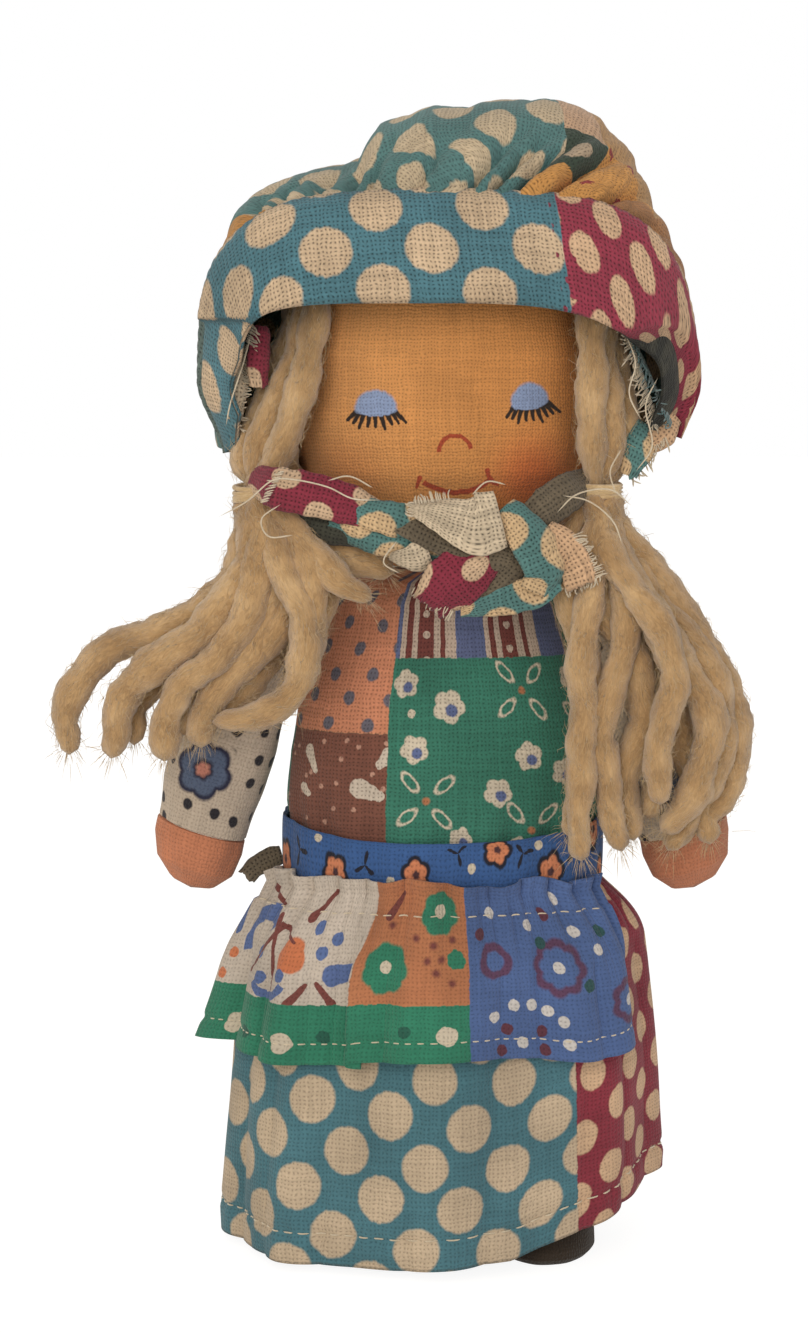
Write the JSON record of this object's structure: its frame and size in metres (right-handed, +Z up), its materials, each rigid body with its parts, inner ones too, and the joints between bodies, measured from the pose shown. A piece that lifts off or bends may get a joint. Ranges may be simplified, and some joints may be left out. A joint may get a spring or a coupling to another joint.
{
  "type": "rag doll",
  "caption": "Small stuffed cloth rag doll with gathered bonnet, yarn hair, skirt and apron; head nods, arms lift and legs fold to sit.",
  "frame": {"origin": "middle of the whole doll in plan, on the surface that its boots stand on", "axes": "+Z up, the doll faces -Y, +X is the doll's left"},
  "size_m": [0.1014, 0.0538, 0.1658],
  "materials": {
    "patchwork_cloth": "plain-weave cotton printed in patchwork",
    "stuffing": "loose fibre",
    "calico_cloth": "plain-weave cotton, small print",
    "reverse_cloth": "unprinted side of plain-weave cotton",
    "dotted_cloth": "plain-weave cotton with printed dots",
    "apron_cloth": "plain-weave cotton printed in patchwork",
    "face_cloth": "tan plain-weave cotton",
    "yarn": "soft low-twist yarn",
    "thread": "cotton thread",
    "sleeve_cloth": "plain-weave cotton with printed dots",
    "hand_cloth": "coral plain-weave cotton",
    "stocking_cloth": "cream plain-weave cotton",
    "boot_cloth": "dark brown plain-weave cotton"
  },
  "bodies": {
    "torso": {"torso_cover": "patchwork_cloth", "torso_stuffing": "stuffing", "waistband": "calico_cloth", "waist_end": "reverse_cloth", "skirt": "dotted_cloth", "apron": "apron_cloth", "neck": "face_cloth"},
    "head": {"head_cover": "face_cloth", "head_stuffing": "stuffing", "hair_cap": "yarn", "hair_side_r": "yarn", "hair_side_l": "yarn", "hair_tie_r": "thread", "hair_tie_l": "thread", "hair_lock_r_1": "yarn", "hair_lock_r_2": "yarn", "hair_lock_r_3": "yarn", "hair_lock_r_4": "yarn", "hair_lock_r_5": "yarn", "hair_lock_l_1": "yarn", "hair_lock_l_2": "yarn", "hair_lock_l_3": "yarn", "hair_lock_l_4": "yarn", "hair_lock_l_5": "yarn", "bonnet_crown": "dotted_cloth", "bonnet_brim": "dotted_cloth", "tie_strip_r": "dotted_cloth", "tie_strip_l": "reverse_cloth", "tie_knot": "reverse_cloth", "tie_end_pale": "reverse_cloth", "tie_end_crimson": "dotted_cloth", "tie_end_teal": "dotted_cloth", "tie_end_pink": "reverse_cloth"},
    "arm_r": {"sleeve_r": "sleeve_cloth", "hand_r": "hand_cloth", "arm_stuffing_r": "stuffing"},
    "arm_l": {"sleeve_l": "sleeve_cloth", "hand_l": "hand_cloth", "arm_stuffing_l": "stuffing"},
    "leg_r": {"leg_r": "stocking_cloth", "boot_r": "boot_cloth", "leg_stuffing_r": "stuffing"},
    "leg_l": {"leg_l": "stocking_cloth", "boot_l": "boot_cloth", "leg_stuffing_l": "stuffing"}
  },
  "joints": [
    {"name": "head_nod", "type": "hinge", "parent": "torso", "child": "head", "pos_m": [0.0056, -0.0024, 0.1012], "axis": [1, 0, 0], "range_deg": [-20, 12], "deforming": ["neck", "hair_lock_r_1", "hair_lock_r_2", "hair_lock_r_3", "hair_lock_r_4", "hair_lock_r_5", "hair_lock_l_1", "hair_lock_l_2", "hair_lock_l_3", "hair_lock_l_4", "hair_lock_l_5"]},
    {"name": "arm_r_raise", "type": "hinge", "parent": "torso", "child": "arm_r", "pos_m": [-0.01934, -0.0024, 0.0897], "axis": [0, 1, 0], "range_deg": [0, 80]},
    {"name": "arm_l_raise", "type": "hinge", "parent": "torso", "child": "arm_l", "pos_m": [0.03053, -0.0024, 0.0897], "axis": [0, -1, 0], "range_deg": [0, 80]},
    {"name": "leg_r_sit", "type": "hinge", "parent": "torso", "child": "leg_r", "pos_m": [-0.0092, -0.0024, 0.0462], "axis": [-1, 0, 0], "range_deg": [-5, 85], "deforming": ["skirt", "apron"]},
    {"name": "leg_l_sit", "type": "hinge", "parent": "torso", "child": "leg_l", "pos_m": [0.0204, -0.0024, 0.0462], "axis": [-1, 0, 0], "range_deg": [-5, 85]}
  ],
  "couplings": [
    {"joint": "leg_l_sit", "follows": "leg_r_sit", "ratio": 1}
  ]
}
